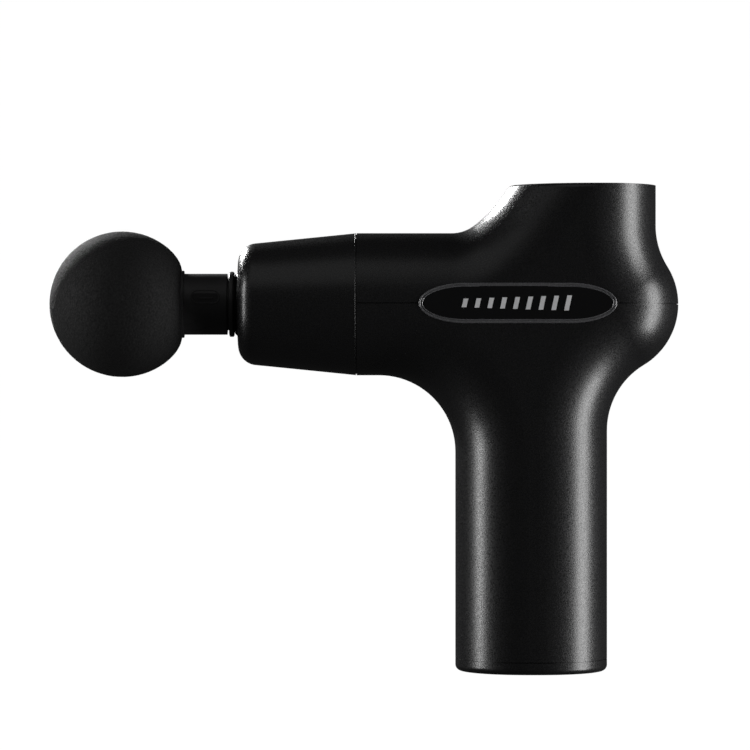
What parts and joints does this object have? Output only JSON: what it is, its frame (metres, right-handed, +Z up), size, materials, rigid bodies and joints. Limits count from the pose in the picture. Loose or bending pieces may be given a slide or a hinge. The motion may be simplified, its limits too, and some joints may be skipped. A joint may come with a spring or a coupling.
{
  "type": "massage gun",
  "caption": "Hand-held percussion massage gun with a round handle, a level barrel, an upright motor tower and a ball head on a short neck.",
  "frame": {"origin": "centre of the handle's flat base, on the surface it stands on", "axes": "+Z up along the handle, -X along the barrel towards the massage ball, Y across the body"},
  "size_m": [0.2062, 0.048, 0.1588],
  "materials": {
    "shell_plastic": "matte, fine grain",
    "badge_gloss": "gloss",
    "badge_lip": "satin",
    "screen_gloss": "gloss",
    "foam": "pebbled closed-cell foam",
    "neck_plastic": "satin",
    "soft_rubber": "matte",
    "steel": "satin",
    "dark_steel": "satin",
    "piston_plastic": "low-friction plastic, satin",
    "bracket_steel": "pressed plate, satin",
    "slide_plastic": "satin",
    "inner_plastic": "matte",
    "circuit_board": "satin",
    "chip_plastic": "matte",
    "capacitor_can": "satin",
    "copper_wire": "enamelled",
    "magnet": "plated",
    "cell_sleeve": "satin film",
    "nickel": "satin",
    "brass": "satin",
    "red_wire": "satin",
    "black_wire": "satin"
  },
  "bodies": {
    "housing": {"upper_housing": "shell_plastic", "lower_housing": "shell_plastic", "nose_cone": "shell_plastic", "base_cap": "shell_plastic", "nose_seal": "soft_rubber", "badge_left": "badge_gloss", "badge_right": "badge_gloss", "badge_rim_left": "badge_lip", "badge_rim_right": "badge_lip", "base_screws": "dark_steel", "side_screws_left": "steel", "side_screws_right": "steel", "control_screen": "screen_gloss", "screen_board": "circuit_board", "screen_lights": "slide_plastic", "guide_sleeve": "inner_plastic", "front_bush": "slide_plastic", "rear_bush": "slide_plastic", "front_damper": "soft_rubber", "rear_damper": "soft_rubber", "motor_bracket": "bracket_steel", "motor_screws": "steel", "motor_base": "bracket_steel", "stator": "dark_steel", "windings": "copper_wire", "motor_bearings": "steel", "battery_cells": "cell_sleeve", "lower_cell_holder": "inner_plastic", "upper_cell_holder": "inner_plastic", "battery_tabs": "nickel", "driver_board": "circuit_board", "board_chips": "chip_plastic", "board_capacitors": "capacitor_can", "switch_body": "inner_plastic", "switch_blades": "brass", "charge_socket": "inner_plastic", "charge_pin": "brass", "battery_wires": "red_wire", "charge_wires": "black_wire", "switch_wires": "black_wire", "motor_wires": "red_wire", "screen_wires": "black_wire"},
    "rotor": {"rotor_can": "dark_steel", "magnets": "magnet", "motor_shaft": "steel", "crank_disc": "steel", "crank_pin": "steel", "pin_bearing": "steel"},
    "piston": {"piston": "piston_plastic", "yoke": "steel"},
    "massage_head": {"massage_ball": "foam", "head_stem": "neck_plastic", "stem_washer": "neck_plastic", "stem_rings": "soft_rubber"},
    "rocker": {"rocker": "shell_plastic"}
  },
  "joints": [
    {"name": "crank_spin", "type": "hinge", "parent": "housing", "child": "rotor", "pos_m": [0.0169, 0, 0.12], "axis": [0, 0, 1], "range_deg": [0, 180]},
    {"name": "head_stroke", "type": "slide", "parent": "housing", "child": "piston", "axis": [-1, 0, 0], "range_m": [0, 0.01]},
    {"name": "head_pull", "type": "slide", "parent": "piston", "child": "massage_head", "axis": [-1, 0, 0], "range_m": [0, 0.022]},
    {"name": "power_rocker", "type": "hinge", "parent": "housing", "child": "rocker", "pos_m": [-0.0105, 0, 0.004], "axis": [0, -1, 0], "range_deg": [0, 20]}
  ],
  "couplings": [
    {"joint": "crank_spin", "follows": "head_stroke", "rad_per_m": 314.15}
  ]
}
